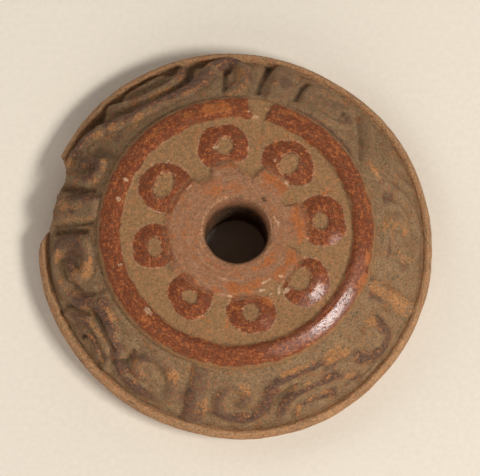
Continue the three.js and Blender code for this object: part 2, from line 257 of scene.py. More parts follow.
# Places of the flank where the slip is left dark, in the same terms. The one at 50 degrees and
# slope 0.03 only darkens a band just under the ridge, from about 32 to 68 degrees.
DARK_SLIP = [
    (335.8, 0.25, 0.6, 2.6, 0.9), (355, 0.23, 1.8, 0.3, 0.7), (350.5, 0.55, 0.8, 1.5, 0.4),
    (21, 0.28, 0.6, 0.7, 0.6), (14.5, 0.32, 1.4, 1.6, 0.6), (47, 0.45, 0.8, 1.5, 0.7),
    (54, 0.27, 2.6, 0.5, 0.5), (57, 0.5, 0.8, 1.5, 0.4), (53, 0.72, 1.2, 0.8, 0.6),
    (50, 0.03, 8, 0.5, 0.9), (72.5, 0.5, 1, 2.5, 0.5), (85.4, 0.5, 0.6, 1.5, 0.95),
    (92, 0.86, 2.4, 1.2, 0.8), (96, 0.8, 0.7, 0.9, 0.8), (99, 0.55, 1.4, 1.6, 0.6),
    (106, 0.4, 2, 1.2, 0.8), (115, 0.3, 3.2, 0.9, 0.8), (126, 0.37, 3, 0.9, 0.8),
    (137.5, 0.57, 1.6, 1.4, 0.8), (143, 0.8, 1.6, 1, 0.6), (140, 0.31, 1.1, 0.9, 0.7),
    (118, 0.62, 3.4, 0.9, 0.5), (107, 0.75, 0.9, 1.3, 0.6), (155, 0.35, 1.7, 1.7, 1),
    (152.5, 0.6, 1.2, 1.6, 0.9), (149, 0.85, 1.6, 1, 0.7), (165.5, 0.4, 0.7, 4.2, 0.9),
    (171, 0.45, 0.5, 0.6, 0.6), (188, 0.52, 2, 1.4, 0.8), (186, 0.33, 2, 0.8, 0.6),
    (181, 0.55, 1.4, 3.2, 0.6), (203, 0.5, 1.6, 2.4, 0.7), (208, 0.2, 2.4, 0.9, 0.8),
    (213, 0.3, 2.6, 1, 1), (222, 0.42, 1.6, 1.2, 0.8), (228.5, 0.62, 1.8, 1.4, 1),
    (235.5, 0.78, 2.6, 0.7, 1), (211, 0.62, 2.2, 0.6, 0.9), (216, 0.72, 1.4, 0.6, 0.8),
    (222.3, 0.72, 0.9, 0.8, 0.9), (207, 0.75, 1, 0.9, 0.6), (234, 0.25, 1.2, 0.8, 0.6),
    (230, 0.4, 0.7, 1.2, 0.8), (253, 0.6, 1.2, 2.6, 0.7), (264, 0.76, 2, 0.6, 0.7),
    (273, 0.76, 2.4, 0.7, 0.8), (290, 0.24, 4, 0.8, 0.9), (302, 0.26, 2.2, 0.7, 0.8),
    (283, 0.4, 1.2, 1.6, 0.9), (280.5, 0.62, 0.9, 1.6, 0.8), (306, 0.42, 1.6, 0.6, 0.7),
    (315.5, 0.6, 0.8, 1.4, 0.8), (319, 0.78, 1.6, 1, 0.8), (325, 0.82, 1.4, 0.9, 0.7),
    (329, 0.6, 0.8, 1.2, 0.5), (302, 0.55, 2.4, 0.7, 0.9), (293, 0.54, 2.4, 0.5, 0.9),
    (309, 0.83, 1.4, 0.5, 0.6), (286, 0.68, 0.8, 1.4, 0.8), (300.5, 0.78, 1.6, 0.6, 0.9),
    (294, 0.75, 1.2, 0.4, 0.6),
]

# The same on the disc: angle, radius in mm, half-length round it and half-depth, strength.
DISC_RUBBED = [
    (53, 9.5, 2.7, 0.9, 1), (44, 10.2, 0.7, 0.6, 0.8), (8, 9.4, 2.9, 0.9, 1),
    (357, 9.6, 1.4, 0.9, 0.9), (332, 9.2, 1.9, 0.8, 1), (315, 9.2, 1.4, 0.9, 0.9),
    (310, 6.6, 2.2, 0.6, 0.8), (325, 6.9, 1.4, 0.5, 0.7), (284, 8.9, 2.3, 0.8, 0.8),
    (267, 8.8, 1.6, 0.9, 0.9), (294, 12, 0.8, 1.2, 0.9), (265, 13.6, 0.6, 1.4, 0.7),
    (270, 12, 0.5, 0.6, 0.8), (252, 9.6, 1.1, 0.5, 0.8), (249, 14.4, 1.2, 0.5, 0.8),
    (184.5, 9.8, 1, 0.5, 0.9), (98, 10.1, 1.9, 0.4, 0.7), (118, 6.9, 1.5, 0.7, 0.6),
    (101, 13, 0.4, 0.9, 0.8), (33, 6.8, 1.4, 0.5, 0.5), (67, 15.2, 0.5, 1.2, 0.7),
    (62, 16.6, 0.8, 0.4, 0.6), (24, 15, 0.4, 1.4, 0.7), (8, 15.6, 2.2, 0.7, 0.5),
    (76, 14.6, 0.5, 0.8, 0.5), (112, 16.6, 1.4, 0.5, 0.5), (100, 19.3, 3, 1.1, 1),
    (113, 19.5, 2.2, 0.8, 0.8), (130, 19.6, 3, 0.5, 0.7), (160, 19.8, 2.4, 0.4, 0.6),
    (64, 20, 2.6, 0.5, 0.7), (40, 20, 3.2, 0.4, 0.6), (12, 20.1, 3.2, 0.4, 0.7),
    (338, 20.4, 2.2, 0.7, 0.9), (348, 20.1, 1.6, 0.5, 0.8), (225, 19.4, 1.6, 0.7, 0.7),
    (203, 19.8, 2.6, 0.4, 0.6), (256, 17.7, 2.4, 0.3, 0.7),
]

# Earth that lies over slip and clay of the disc, in the same terms.
DISC_EARTH = [
    (30.5, 12.6, 1.1, 2, 1), (32, 8.6, 0.9, 0.8, 0.8), (345.5, 12, 0.7, 2.4, 1),
    (345.5, 8.4, 0.9, 0.8, 0.8), (20, 7.2, 1.4, 0.5, 0.5), (120.5, 10, 1.6, 1, 1),
    (77, 9.2, 1.2, 0.7, 0.9), (301, 9.7, 1.5, 0.7, 0.7), (288, 9.9, 0.9, 0.4, 0.6),
    (258, 12.4, 0.7, 1.8, 1), (213.5, 13.6, 0.8, 1.2, 0.9), (170, 13.2, 0.7, 1.8, 1),
    (304, 13.4, 0.7, 1.2, 0.8), (255, 6.8, 2.2, 0.5, 0.5), (140, 8.4, 2, 0.4, 0.4),
    (210, 8.6, 2.4, 0.4, 0.4), (338, 5.8, 1.6, 0.6, 0.5),
]

# Pale scuffs on the disc, in the same terms; the first one, at 309.5 degrees, is a painted
# highlight on the boss at 323 degrees.
SCUFFS_AND_HIGHLIGHT = [
    (309.5, 11.8, 0.6, 0.45, 1), (304, 11.4, 0.4, 0.35, 0.9), (313.5, 9.6, 0.45, 0.4, 0.7),
    (306, 10.8, 0.5, 0.3, 0.7), (300, 8.9, 1.1, 0.22, 0.8), (293, 9.8, 0.6, 0.3, 0.8),
    (297, 10.9, 0.5, 0.3, 0.6), (263.5, 10.1, 0.42, 0.16, 1), (18, 6, 0.5, 0.2, 0.7),
    (10, 6.4, 0.6, 0.22, 0.8), (45, 10.6, 0.7, 0.24, 0.8), (62, 12.4, 0.2, 0.5, 0.6),
    (104, 13.3, 0.6, 0.35, 0.9), (138, 9.8, 0.7, 0.2, 0.6), (134, 15, 0.6, 0.3, 0.6),
    (141, 16.4, 0.5, 0.25, 0.6), (165, 18.6, 0.4, 0.4, 0.7), (155, 18.5, 0.35, 0.5, 0.7),
    (223, 18.2, 0.9, 0.6, 0.6), (197, 18.3, 0.25, 0.6, 0.7), (81, 18, 0.6, 0.35, 0.7),
    (84, 18.6, 0.3, 0.5, 0.5),
]

# Dark pores and dirt on the disc, in the same terms.
DISC_GRIME = [
    (50.3, 6.35, 0.5, 0.3, 1.3), (6, 13.8, 0.9, 0.22, 0.6), (257, 11.4, 0.7, 0.6, 0.4),
    (72, 8.9, 0.7, 0.3, 0.35), (25.5, 13, 0.16, 2, 0.3), (280, 12.2, 1, 0.5, 0.35),
    (319, 11.6, 0.8, 0.4, 0.3), (312, 10, 0.5, 0.4, 0.4), (192, 12.7, 1.4, 1, 0.34),
    (236, 12.3, 1.1, 0.9, 0.34), (280.5, 12.9, 1.2, 1.3, 0.34), (149, 16.9, 1.6, 0.2, 0.4),
]

# Where the slip still shines, in the same terms.
BURNISH = [
    (318, 19.4, 7, 1.6, 1), (295, 19.3, 4, 1.2, 0.6), (342, 19.3, 3, 1.2, 0.5),
    (321, 15.3, 3.6, 1.4, 1), (354, 15.2, 1.5, 1.3, 0.8), (288, 14.8, 1.3, 1, 0.4),
]

# The hub's worn edge, as angles and radii in mm.
HUB_EDGE = [
    (0, 10.6), (20, 10.6), (25, 9.7), (28, 8.3), (32, 7.9), (36, 8.5), (40, 10), (54, 10.8),
    (66, 10.7), (70, 9.7), (73, 8.8), (84, 8.8), (89, 9.9), (98, 10.7), (111, 10.4), (115, 9.2),
    (121, 8.8), (127, 9.2), (130, 10.3), (165, 10.7), (175, 10.8), (191, 10.5), (206, 10.9),
    (213, 11.7), (221, 10.7), (236, 10.4), (264, 10.2), (287, 10.2), (294, 9.4), (305, 9.4),
    (312, 10.2), (323, 10.5), (337, 10.4), (341, 9.7), (344, 8.4), (348, 7.9), (351, 8.9),
    (355, 10.3), (360, 10.6),
]


def srgb(red, green, blue):
    """A colour given as 0 to 255 in the usual scale, as the linear one that shaders take."""
    return tuple(
        c / 12.92 if c <= 0.04045 else ((c + 0.055) / 1.055) ** 2.4
        for c in (red / 255, green / 255, blue / 255)
    )


def panel_length(name, description, default):
    """A length in metres for the panel."""
    return FloatProperty(name=name, description=description, default=default, unit="LENGTH")


def panel_colour(name, description, *levels):
    """A colour for the panel, given as 0 to 255."""
    colour = srgb(*levels)
    return FloatVectorProperty(
        name=name, description=description, subtype="COLOR", default=colour
    )


class WhorlSizes(bpy.types.PropertyGroup):
    """Sizes of the clay"""

    rim_radius: panel_length(
        "Rim radius",
        "Hole's axis to the widest circle",
        (WHORL_HIGH.y - WHORL_LOW.y) / 2 - SKIN / MM,
    )
    height: panel_length(
        "Height", "Table to the crest of the ridge", WHORL_HIGH.z - WHORL_LOW.z
    )
    hub_z: panel_length("Hub height", "Table to the flat face of the hub", MOUNTS["hub_face"].z)
    rim_z: panel_length("Rim height", "Table to the widest circle", 0.0036)
    foot_radius: panel_length("Foot radius", "Edge of the flat underside", 0.022)
    mouth_radius: panel_length(
        "Hole at the top", "Radius of the spindle hole at the hub", 0.0049
    )
    bore_radius: panel_length(
        "Hole at the bottom", "Radius of the spindle hole at the underside", 0.0044
    )
    relief: panel_length("Relief", "How far the strokes of the flank stand up", 0.0008)
    groove: panel_length("Grooves", "How deep the lines beside the strokes are cut", 0.0004)
    turn_steps: IntProperty(
        name="Turn steps",
        description="Faces round the whorl",
        default=720,
        min=90,
        max=720,
    )


class WhorlColours(bpy.types.PropertyGroup):
    """Colours of the clay, its slip and the earth on it"""

    red_slip: panel_colour(
        "Red slip", "Burnished slip on the ridge and the bosses", 118, 54, 26
    )
    worn_slip: panel_colour(
        "Worn slip", "Slip rubbed thin, with the clay showing through", 166, 98, 54
    )
    orange_clay: panel_colour(
        "Orange clay", "Clay laid bare on the disc and the ridge", 172, 98, 48
    )
    hub_clay: panel_colour("Hub clay", "Bare worn clay of the hub", 156, 108, 76)
    # Pale clay is also painted highlight: a spot on the boss at 323 degrees and a line along the
    # ridge's inner edge.
    pale_clay: panel_colour("Pale clay", "Scuffs, grit and worn edges", 196, 158, 124)
    earth: panel_colour("Earth", "Soil left between the strokes of the flank", 150, 118, 84)
    dusty_earth: panel_colour(
        "Dusty earth", "Paler earth in patches over the disc's floor", 160, 128, 92
    )
    olive_earth: panel_colour(
        "Olive earth", "Darker earth in patches over the flank", 128, 104, 68
    )
    disc_earth: panel_colour(
        "Disc earth", "Soil left on the floor of the disc and in the pits", 150, 111, 72
    )
    warm_stain: panel_colour("Warm stain", "Faint warm stain all over the clay", 180, 98, 44)
    cool_stain: panel_colour("Cool stain", "Faint olive stain all over the clay", 108, 96, 66)
    brown_slip: panel_colour("Brown slip", "Darkened slip on the flank", 102, 72, 58)
    ochre: panel_colour(
        "Ochre", "Clay rubbed bare on the high places of the flank", 182, 128, 80
    )
    rim_clay: panel_colour("Rim clay", "Clay of the rim and the underside", 186, 140, 98)
    # Grime is also painted shade: the dark colour in the deep lines and beside the strokes.
    grime_and_shade: panel_colour("Grime", "Dirt at the bottom of the deep lines", 62, 42, 24)
    # Painted shade: near black down the spindle hole, darkest at its bottom.
    soot: panel_colour("Dark bore", "Dirt down the spindle hole", 16, 12, 7)
    table: panel_colour("Table", "Pale ground that the whorl lies on", 238, 227, 210)


# ---- Turning the clay ----


def resampled(points, count):
    """A polyline of [radius, height] as count points at even steps, without its last."""
    points = np.array(points, float)
    gone = np.concatenate([[0], np.cumsum(np.hypot(*np.diff(points, axis=0).T))])
    at = np.linspace(0, gone[-1], count, endpoint=False)
    return np.stack([np.interp(at, gone, points[:, k]) for k in (0, 1)], axis=1)


def flank_place(sizes, slope, lift):
    """Radius and height in millimetres of a point on the flank, lifted off its floor."""
    (inner, under), (outer, over) = FLANK_TOP, FLANK_FOOT
    top, bottom = sizes.height * MM - under, sizes.rim_z * MM + over
    length = math.hypot(outer - inner, top - bottom)
    rise = lift + FLANK_BULGE * slope * (1 - slope)
    radius = inner + (outer - inner) * slope + rise * (top - bottom) / length
    height = top - (top - bottom) * slope + rise * (outer - inner) / length
    return radius, height


def profile(sizes):
    """The outline of half a slice through the whorl, as named runs of points, in mm."""
    rim, rim_z, height = sizes.rim_radius * MM, sizes.rim_z * MM, sizes.height * MM
    foot, bore, mouth = (
        value * MM for value in (sizes.foot_radius, sizes.bore_radius, sizes.mouth_radius)
    )
    field = height - FLOOR_DEPTH
    belly = [
        (foot + (rim - foot) * t, rim_z * t**3 * 0.96) for t in np.linspace(0, 0.99, 9)
    ]
    flank = [flank_place(sizes, slope, 0) for slope in np.linspace(1, 0, 20)]
    lip_top = (rim - 0.75, rim_z + 1.65)
    runs = [
        ("under", [(bore + 0.35, 0), (foot, 0)], 6),
        ("belly", [*belly, (rim, rim_z)], 8),
        ("rim", [(rim, rim_z), (rim - 0.22, rim_z + 1.0), lip_top], 6),
        ("lip", [lip_top, (rim - 1.15, rim_z + 1.45), flank[0]], 6),
        ("flank", flank, 47),
        (
            "ridge",
            [
                flank[-1],
                (20.98, height - 1.4),
                (20.75, height - 1.0),
                (20.4, height - 0.7),
                (19.6, height - 0.34),
                (18.95, height - 0.1),
                (18.6, height),
                (18.2, height - 0.12),
                (17.75, height - 0.45),
                (17.35, field),
            ],
            19,
        ),
        ("disc", [(17.35, field), (mouth + 0.3, field)], 42),
        ("bore", [(mouth + 0.02, field + 0.1), (bore, 0.35)], 4),
    ]
    stations = []
    for name, points, count in runs:
        made = resampled(points, count)
        shares = np.linspace(0, 1, count, endpoint=False)
        stations += [
            (name, share, radius, z)
            for share, (radius, z) in zip(shares, made, strict=True)
        ]
    return stations


def spin_profile(name, stations, steps):
    """A mesh turned about the Z axis from a closed outline, one vertex a station."""
    bpy.ops.object.select_all(action="DESELECT")
    places = [Vector((radius, 0, z)) / MM for _, _, radius, z in stations]
    bpy.ops.mesh.primitive_plane_add(size=0.001)
    piece = bpy.context.object
    piece.name = piece.data.name = name
    bpy.ops.object.mode_set(mode="EDIT")
    bpy.ops.mesh.select_all(action="SELECT")
    bpy.ops.mesh.merge(type="CENTER")
    bpy.ops.transform.translate(value=places[0])
    for before, after in zip(places, places[1:], strict=False):
        bpy.ops.mesh.extrude_vertices_move(TRANSFORM_OT_translate={"value": after - before})
    bpy.ops.object.mode_set(mode="OBJECT")
    ends = np.zeros(len(places), bool)
    ends[[0, -1]] = True
    piece.data.vertices.foreach_set("select", ends)
    bpy.ops.object.mode_set(mode="EDIT")
    bpy.ops.mesh.edge_face_add()
    bpy.ops.object.mode_set(mode="OBJECT")
    bpy.ops.object.modifier_add(type="SCREW")
    turning = piece.modifiers[-1]
    turning.steps = turning.render_steps = steps
    turning.use_merge_vertices = True
    turning.merge_threshold = 1e-6
    bpy.ops.object.modifier_apply(modifier=turning.name)
    bpy.ops.object.mode_set(mode="EDIT")
    bpy.ops.mesh.select_all(action="SELECT")
    bpy.ops.mesh.remove_doubles(threshold=1e-6)
    bpy.ops.mesh.normals_make_consistent(inside=False)
    bpy.ops.object.mode_set(mode="OBJECT")
    return piece


# ---- Relief ----


def soft(low, high, value):
    """0 up to low and 1 from high on, with a smooth rise between."""
    share = np.clip((value - low) / (high - low), 0, 1)
    return share * share * (3 - 2 * share)


def lumps(x, y, z, size, seed):
    """Smooth noise from about -1 to 1, with lumps about a given size across."""
    shift = Vector((seed * 17.31, seed * 5.77, seed * 9.13))
    flat = np.stack([x.ravel(), y.ravel(), z.ravel()], axis=1) / size
    made = [noise.noise(Vector(point) + shift) for point in flat]
    return np.array(made).reshape(x.shape)


def angle_from(angle, middle):
    """How far an angle is from another, in degrees from -180 to 180."""
    return (angle - middle + 180) % 360 - 180


def smooth_line(points, parts=4):
    """A line of angle and slope through the given places, rounded between them."""
    places = np.array(points, float)
    places[:, 0] = np.degrees(np.unwrap(np.radians(places[:, 0])))
    before = np.vstack([2 * places[0] - places[1], places[:-1]])
    after = np.vstack([places[1:], 2 * places[-1] - places[-2]])
    lean = (after - before) / 2
    made = [places[0]]
    for start, end, leave, arrive in zip(places, places[1:], lean, lean[1:], strict=False):
        for t in np.linspace(0, 1, parts + 1)[1:]:
            made.append(
                (2 * t**3 - 3 * t**2 + 1) * start
                + (t**3 - 2 * t**2 + t) * leave
                + (3 * t**2 - 2 * t**3) * end
                + (t**3 - t**2) * arrive
            )
    return made


class Flank:
    """A grid of angles and slopes on the flank, measured in millimetres along it."""

    def __init__(self, sizes, angle, slope):
        inner, top = flank_place(sizes, 0, 0)
        outer, bottom = flank_place(sizes, 1, 0)
        self.angle, self.slope = angle, slope
        self.length = math.hypot(outer - inner, top - bottom)
        self.per_degree = math.radians((inner + outer) / 2)

    def from_place(self, at, down):
        run = angle_from(self.angle, at) * self.per_degree
        return run, (self.slope - down) * self.length

    def from_line(self, points):
        """Distance in mm to a line through places given as angle and slope, FAR at most."""
        turns = [point[0] for point in points]
        middle, half = (max(turns) + min(turns)) / 2, (max(turns) - min(turns)) / 2
        near = np.abs(angle_from(self.angle[0], middle)) < half + FAR
        angle, slope = self.angle[:, near], self.slope[:, near]
        closest = np.full(angle.shape, FAR)
        for (at, down), (next_at, next_down) in zip(points, points[1:], strict=False):
            run = angle_from(angle, at) * self.per_degree
            fall = (slope - down) * self.length
            along = (next_at - at) * self.per_degree
            deep = (next_down - down) * self.length
            share = (run * along + fall * deep) / (along**2 + deep**2 + 1e-9)
            share = np.clip(share, 0, 1)
            off = np.hypot(run - share * along, fall - share * deep)
            closest = np.minimum(closest, off)
        made = np.full(self.angle.shape, FAR)
        made[:, near] = closest
        return made

    def spots(self, places, ragged):
        """Strength of a list of soft uneven spots."""
        made = np.zeros(self.angle.shape)
        for at, down, half_run, half_fall, strength in places:
            run, fall = self.from_place(at, down)
            reach = np.hypot(run / half_run, fall / half_fall) + ragged
            made = np.maximum(made, strength * soft(1.4, 0.45, reach))
        return made


def flank_relief(sizes, angle, slope, wander, ragged):
    """Lift off the flank's floor in mm, with marks for the strokes, the lines and wear."""
    flank = Flank(sizes, angle, slope)
    body, high, edge = np.zeros((3, *angle.shape))
    nearest = np.full(angle.shape, 99.0)
    for points, width, stand, slip in STROKES:
        gap = flank.from_line(smooth_line(points)) - width / 2 + wander
        top = soft(0.35, -0.8, gap) * (0.82 + 0.18 * soft(-0.3, -1.3, gap))
        body = np.maximum(body, stand * top)
        high = np.maximum(high, slip * soft(0.35, -0.5, gap))
        edge = np.maximum(edge, np.exp(-(((gap + 0.3) / 0.3) ** 2)) * min(1, 0.3 + slip))
        nearest = np.minimum(nearest, gap)
    beside = np.exp(-(((nearest - 0.35) / 0.4) ** 2)) * soft(1.02, 0.9, slope)
    lift = sizes.relief * MM * body - 0.25 * sizes.groove * MM * beside
    # Grime and painted shade: darker colour in the grooves beside the strokes and down the deep
    # lines.
    grime_and_shade = 0.25 * beside
    for points, width, depth in DEEP_LINES:
        off = np.maximum(flank.from_line(smooth_line(points)) + 0.6 * wander, 0)
        lift = lift - depth * np.exp(-((off / (0.62 * width)) ** 2))
        deep = min(1.0, depth / 0.5) * np.exp(-((off / (0.62 * width)) ** 2))
        grime_and_shade = np.maximum(grime_and_shade, deep)
    marks = {
        "high": high,
        "edge": edge,
        "grime_and_shade": grime_and_shade,
        "rubbed": flank.spots(RUBBED, ragged),
        "slip": flank.spots(DARK_SLIP, ragged),
    }
    return lift, marks


def disc_spots(places, angle, radius, ragged):
    """Strength of a list of soft uneven spots given as angle and radius."""
    made = np.zeros(angle.shape)
    for at, out, half_run, half_depth, strength in places:
        run = np.radians(angle_from(angle, at)) * radius
        reach = np.hypot(run / half_run, (radius - out) / half_depth) + ragged
        made = np.maximum(made, strength * soft(1.4, 0.45, reach))
    return made


def disc_relief(sizes, x, y, wander):
    """Height over the disc's sunken floor in mm, with its marks."""
    field = sizes.height * MM - FLOOR_DEPTH
    hub_rise = sizes.hub_z * MM - field
    radius = np.hypot(x, y)
    angle = np.degrees(np.arctan2(y, x))
    edge_angles, edge_radii = np.array(HUB_EDGE).T
    hub_edge = np.interp(angle % 360, edge_angles, edge_radii)
    hub = soft(0.7, -0.5, radius - hub_edge + 1.4 * wander)
    rise = hub_rise * soft(1.0, -0.9, radius - hub_edge + wander)
    bosses, pits, fringe = np.zeros((3, *x.shape))
    for at, circle, reaches, (pit_at, pit_circle, half_length, half_depth) in BOSSES:
        run = np.radians(angle_from(angle, at)) * radius
        out = radius - circle
        turned = np.degrees(np.arctan2(out, run)) % 360
        reach = np.interp(turned, range(0, 361, 45), [*reaches, reaches[0]])
        gap = np.hypot(run, out) - reach + wander
        run = np.radians(angle_from(angle, pit_at)) * radius
        from_pit = np.hypot(run / half_length, (radius - pit_circle) / half_depth)
        from_pit = from_pit + 0.5 * wander
        pit = soft(1.25, 0.8, from_pit)
        ramp = np.clip(-gap / 2.0, 0, 1)
        top = 0.7 * ramp + 0.3 * soft(0, 1, ramp)
        rise = np.maximum(rise, 0.8 * top) * (1 - pit) + 0.36 * pit
        bosses = np.maximum(bosses, soft(0.25, -0.3, gap))
        fringe = np.maximum(fringe, np.exp(-(((gap + 0.05) / 0.2) ** 2)))
        fringe = np.maximum(fringe, 0.8 * np.exp(-(((from_pit - 1.1) / 0.14) ** 2)))
        pits = np.maximum(pits, pit)
    made = {
        "hub": hub,
        "boss": bosses * (1 - 0.3 * hub),
        "pit": pits,
        "fringe": fringe * (1 - 0.7 * hub),
    }
    return rise, made


def broken_away(stations, angle, radius, height, rough):
    """Draws every ring outside the break back to its edge, as one rough broken face."""
    turned = angle[0] % 360
    names = np.array([name for name, *_ in stations])
    edge_angles, edge_radii = np.array(BREAK_EDGE).T
    broken = np.zeros(radius.shape)
    for column in np.flatnonzero((turned > edge_angles[0]) & (turned < edge_angles[-1])):
        edge = np.interp(turned[column], edge_angles, edge_radii) + 0.25 * rough[30, column]
        outside = np.flatnonzero(radius[:, column] > edge)
        outside = outside[names[outside] != "ridge"]
        if not len(outside):
            continue
        first, last = outside[0], outside[-1]
        low, high = height[first, column], height[last, column]
        if names[last] != "flank":
            high = height[last + 1, column]
        share = np.linspace(0, 1, last - first + 1)
        face = slice(first, last + 1)
        sag = 0.25 * np.sin(np.pi * share) + 0.18 * rough[face, column]
        radius[face, column] = np.minimum(radius[face, column], edge - sag)
        height[face, column] = low + (high - low) * share
        broken[face, column] = soft(-0.2, 0.4, edge_radii.max() - edge)
    return broken


def spread(values, rings, columns):
    """The mean of a grid's values over its neighbours, round the turn and along it."""
    made = values
    for axis, reach, edge in ((1, columns, "wrap"), (0, rings, "edge")):
        pad = [(0, 0), (0, 0)]
        pad[axis] = (reach, reach)
        padded = np.pad(made, pad, mode=edge)
        total = sum(
            np.take(padded, range(k, k + made.shape[axis]), axis=axis)
            for k in range(2 * reach + 1)
        )
        made = total / (2 * reach + 1)
    return made


class Relief:
    """The whorl's surface as stations by turn steps, in degrees and mm, with its marks."""

    MARKS = ("disc", "hub", "boss", "pit", "fringe", "ridge", "earth", "scuff_and_highlight", "burnish")
    MARKS += ("high", "edge", "grime_and_shade", "rubbed", "slip", "rim", "bore")

    def __init__(self, sizes, stations, steps):
        self.sizes, self.stations = sizes, stations
        self.names = np.array([name for name, *_ in stations])
        columns = np.array([values for _, *values in stations]).T
        self.share, self.radius, self.height = (
            np.tile(values[:, None], (1, steps)) for values in columns
        )
        self.angle = np.tile(np.arange(steps) * 360 / steps, (len(stations), 1))
        self.x = self.radius * np.cos(np.radians(self.angle))
        self.y = self.radius * np.sin(np.radians(self.angle))
        self.coarse = self.lumps(5.0, 1)
        self.middle = self.lumps(1.6, 2)
        self.fine = self.lumps(0.6, 3)
        self.wander = 0.22 * self.coarse + 0.26 * self.middle + 0.12 * self.fine
        self.ragged = 0.45 * self.middle + 0.4 * self.fine
        self.marks = {key: np.zeros(self.radius.shape) for key in self.MARKS}

    def lumps(self, size, seed):
        return lumps(self.x, self.y, self.height, size, seed)

    def on(self, *names):
        """Which rows lie on the named runs of the outline, as a column."""
        return np.isin(self.names, names)[:, None]

    def press_flank(self):
        rows = self.names == "flank"
        slope = 1 - self.share[rows]
        lift, made = flank_relief(
            self.sizes, self.angle[rows], slope, self.wander[rows], self.ragged[rows]
        )
        for key, values in made.items():
            self.marks[key][rows] = values
        lift = lift - 0.35 * np.exp(-((slope * FLANK_LENGTH / 0.45) ** 2))
        lift = lift - 0.3 * np.exp(-(((1 - slope) * FLANK_LENGTH / 0.4) ** 2))
        lift = lift + 0.12 * self.coarse[rows] + 0.1 * self.middle[rows]
        lift = lift + 0.05 * self.fine[rows]
        self.radius[rows], self.height[rows] = flank_place(self.sizes, slope, lift)

    def press_disc(self):
        rows = self.names == "disc"
        rise, made = disc_relief(self.sizes, self.x[rows], self.y[rows], self.wander[rows])
        self.height[rows] += rise + 0.07 * self.middle[rows] + 0.04 * self.fine[rows]
        self.height[rows] += 0.1 * soft(-0.1, 0.8, self.coarse[rows]) * (1 - made["hub"])
        for key, values in made.items():
            self.marks[key][rows] = values
        self.marks["disc"][rows] = 1
        dirt = self.spots(DISC_GRIME, 0.5) * self.on("disc")
        self.height -= PORE_DEPTH * soft(0.5, 1.0, dirt)
        self.marks["grime_and_shade"] = np.maximum(self.marks["grime_and_shade"], dirt)
        upper = self.on("disc", "ridge")
        rubbed = self.spots(DISC_RUBBED, 1)
        self.marks["rubbed"] = np.where(upper, rubbed, self.marks["rubbed"])
        self.marks["earth"] = self.spots(DISC_EARTH, 1) * upper
        self.marks["scuff_and_highlight"] = self.spots(SCUFFS_AND_HIGHLIGHT, 0.6) * upper
        self.marks["burnish"] = self.spots(BURNISH, 0.4) * upper

    def spots(self, places, unevenness):
        return disc_spots(places, self.angle, self.radius, unevenness * self.ragged)

    def press_ridge(self):
        coarse, middle, fine = self.coarse, self.middle, self.fine
        ridge, upper = self.on("ridge"), self.on("disc", "ridge")
        from_gap = np.abs(angle_from(self.angle, RIDGE_GAP[0])) + 1.6 * middle + 0.8 * fine
        from_gap = from_gap - 0.7 * (self.radius - 19.5)
        worn = soft(RIDGE_GAP[1] + 1.2, RIDGE_GAP[1] - 1.4, from_gap)
        crest = soft(-1.0, 0.0, self.height - self.sizes.height * MM) * ridge
        self.height -= 0.75 * worn * crest
        self.height += ridge * (0.05 * coarse + 0.035 * middle + 0.015 * fine)
        inner_edge = self.radius - SLIP_BAND[0] + 0.3 * coarse + 0.3 * middle + 0.2 * fine
        outer_edge = SLIP_BAND[1] - self.radius + 0.25 * middle + 0.15 * fine
        slipped = soft(-0.22, 0.22, inner_edge) * soft(-0.22, 0.2, outer_edge) * upper
        self.marks["ridge"] = slipped * (1 - worn)
        self.marks["earth"] = np.maximum(self.marks["earth"], worn * upper)
        self.marks["disc"] = np.maximum(self.marks["disc"], ridge * 1.0)
        # Dust and painted highlight: a pale line along the ridge's inner edge on the side that
        # faces the key light.
        arc = soft(112, 122, self.angle % 360) * soft(236, 200, self.angle % 360)
        dust_and_highlight = arc * np.exp(-((inner_edge / 0.18) ** 2)) * upper
        dust_and_highlight = dust_and_highlight * soft(-0.6, 0.0, fine)
        self.marks["fringe"] = np.maximum(self.marks["fringe"], dust_and_highlight)

    def press_rim(self):
        coarse, middle, fine = self.coarse, self.middle, self.fine
        swell_angles, swell = np.array(RIM_SWELL).T
        outline = np.interp(self.angle, swell_angles, swell)
        self.radius += soft(24.0, 29.6, self.radius) * outline
        rim = self.on("rim", "lip", "belly")
        self.radius += rim * (0.05 * coarse + 0.05 * middle + 0.03 * fine)
        self.height += self.on("lip") * (0.12 * coarse + 0.1 * middle + 0.04 * fine)
        self.marks["rim"] = self.on("rim", "lip", "belly", "under") + 0 * self.radius
        self.marks["bore"] = self.on("bore") + 0 * self.radius
        self.radius += self.marks["bore"] * (0.06 * coarse + 0.05 * middle)

    def break_rim(self):
        rough = self.lumps(0.9, 6)
        self.marks["broken"] = broken_away(
            self.stations, self.angle, self.radius, self.height, rough
        )
        hollow = (spread(self.height, 3, 5) - self.height) * 4
        self.marks["hollow"] = np.clip(hollow, -1, 1)

    def places(self):
        """Where every point of the grid stands, in mm."""
        turn = np.radians(self.angle)
        level = (self.radius * np.cos(turn), self.radius * np.sin(turn))
        return np.stack([*level, np.maximum(self.height, 0)], axis=-1)


def press_relief(piece, sizes, stations, steps):
    """Moves the turned clay's vertices into its relief and breaks, and marks its finish."""
    mesh = piece.data
    flat = np.empty(len(mesh.vertices) * 3)
    mesh.vertices.foreach_get("co", flat)
    place = flat.reshape(-1, 3) * MM
    relief = Relief(sizes, stations, steps)
    off = np.hypot(place[:, 0], place[:, 1])[:, None] - relief.radius[:, 0]
    ring = np.argmin(np.hypot(off, place[:, 2][:, None] - relief.height[:, 0]), axis=1)
    turn = np.degrees(np.arctan2(place[:, 1], place[:, 0]))
    column = np.round(turn / (360 / steps)).astype(int) % steps

    relief.press_flank()
    relief.press_disc()
    relief.press_ridge()
    relief.press_rim()
    relief.break_rim()
    mesh.vertices.foreach_set("co", (relief.places()[ring, column] / MM).ravel())
    for key, values in relief.marks.items():
        layer = mesh.attributes.new(key, "FLOAT", "POINT")
        layer.data.foreach_set("value", values[ring, column].astype(np.float32))
    mesh.update()


# ---- Finish ----


